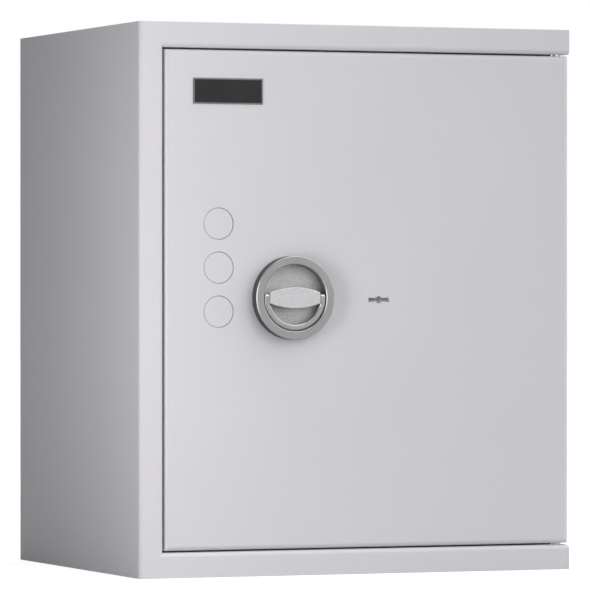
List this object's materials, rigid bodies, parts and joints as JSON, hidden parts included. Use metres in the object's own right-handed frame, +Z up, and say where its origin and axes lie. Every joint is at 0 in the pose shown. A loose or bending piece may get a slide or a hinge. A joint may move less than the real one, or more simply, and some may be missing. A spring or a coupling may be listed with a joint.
{
  "type": "wall safe",
  "caption": "Box-shaped wall safe with a right-hung door, recessed folding ring handle, key lock, sliding bolts on three sides, one shelf and rear anchor holes.",
  "frame": {"origin": "centre of the rear face that goes against the wall", "axes": "+X to the right seen from the front, +Y into the wall (the door faces -Y), +Z up"},
  "size_m": [0.508, 0.417, 0.6],
  "materials": {
    "case_paint": "light grey satin powder coat",
    "inner_paint": "light grey satin powder coat",
    "filling": "cast light mineral filling",
    "zinc_steel": "zinc plated",
    "bright_steel": "turned bright steel",
    "cast_zinc": "zinc die casting, satin",
    "lock_brass": "satin",
    "handle_satin": "turned, satin grey",
    "handle_blasted": "fine shot-blasted",
    "seal_rubber": "matt grey rubber",
    "plate_black": "satin black plate"
  },
  "bodies": {
    "cabinet": {"outer_casing": "case_paint", "back_plate": "case_paint", "door_stop_frame": "case_paint", "inner_liner": "inner_paint", "wall_filling": "filling", "anchor_sleeves": "zinc_steel", "hinge_mounts": "zinc_steel", "hinge_pins": "bright_steel", "shelf_strips": "zinc_steel", "shelf_clips": "zinc_steel", "shelf": "inner_paint"},
    "door": {"door_front_plate": "case_paint", "door_filling": "filling", "door_mounting_plate": "inner_paint", "drill_plate": "bright_steel", "key_guide_tube": "bright_steel", "keyhole_seal": "seal_rubber", "blanking_caps": "case_paint", "name_plate": "plate_black", "hinge_blocks": "zinc_steel", "hinge_bushes": "lock_brass", "hinge_dog_bar": "inner_paint", "bolt_guide_side": "zinc_steel", "bolt_guide_top": "zinc_steel", "bolt_guide_bottom": "zinc_steel", "bar_keepers": "zinc_steel", "cover_pillars": "zinc_steel", "boltwork_cover": "inner_paint", "cover_screws": "zinc_steel", "handle_rim": "handle_satin", "rim_screws": "zinc_steel", "spindle_bush": "lock_brass", "lock_case": "cast_zinc", "lock_cover": "zinc_steel", "lock_screws": "zinc_steel", "lock_levers": "lock_brass"},
    "handle": {"handle_dish": "handle_blasted", "handle_bridge": "handle_blasted", "bridge_screws": "zinc_steel", "bail_pins": "bright_steel", "handle_spindle": "bright_steel", "cam_disc": "bright_steel", "spindle_clip": "zinc_steel"},
    "bail": {"handle_bail": "handle_satin"},
    "side_boltwork": {"side_bolt_bar": "zinc_steel", "side_bolts": "bright_steel", "side_bolt_nuts": "zinc_steel"},
    "top_boltwork": {"top_bolt": "bright_steel", "top_bolt_bar": "zinc_steel", "top_bolt_pin": "zinc_steel"},
    "bottom_boltwork": {"bottom_bolt": "bright_steel", "bottom_bolt_bar": "zinc_steel", "bottom_bolt_pin": "zinc_steel"},
    "curtain": {"key_curtain": "lock_brass"},
    "lock_bolt": {"lock_bolt": "lock_brass"}
  },
  "joints": [
    {"name": "door_hinge", "type": "hinge", "parent": "cabinet", "child": "door", "pos_m": [0.241, -0.392, 0], "axis": [0, 0, 1], "range_deg": [0, 180]},
    {"name": "handle_turn", "type": "hinge", "parent": "door", "child": "handle", "pos_m": [-0.0782, -0.405, 0.0022], "axis": [0, -1, 0], "range_deg": [0, 90]},
    {"name": "bail_fold", "type": "hinge", "parent": "handle", "child": "bail", "pos_m": [-0.0782, -0.413, 0.0022], "axis": [-1, 0, 0], "range_deg": [0, 90]},
    {"name": "side_bolt_slide", "type": "slide", "parent": "door", "child": "side_boltwork", "axis": [-1, 0, 0], "range_m": [0, 0.02]},
    {"name": "top_bolt_slide", "type": "slide", "parent": "door", "child": "top_boltwork", "axis": [0, 0, 1], "range_m": [0, 0.02]},
    {"name": "bottom_bolt_slide", "type": "slide", "parent": "door", "child": "bottom_boltwork", "axis": [0, 0, -1], "range_m": [0, 0.02]},
    {"name": "key_turn", "type": "hinge", "parent": "door", "child": "curtain", "pos_m": [0.0249, -0.36, 0], "axis": [0, 1, 0], "range_deg": [0, 180]},
    {"name": "lock_bolt_slide", "type": "slide", "parent": "door", "child": "lock_bolt", "axis": [-1, 0, 0], "range_m": [0, 0.009]}
  ],
  "couplings": [
    {"joint": "side_bolt_slide", "follows": "handle_turn", "m_per_rad": 0.01273},
    {"joint": "top_bolt_slide", "follows": "handle_turn", "m_per_rad": 0.01273},
    {"joint": "bottom_bolt_slide", "follows": "handle_turn", "m_per_rad": 0.01273},
    {"joint": "lock_bolt_slide", "follows": "key_turn", "m_per_rad": 0.002864}
  ]
}
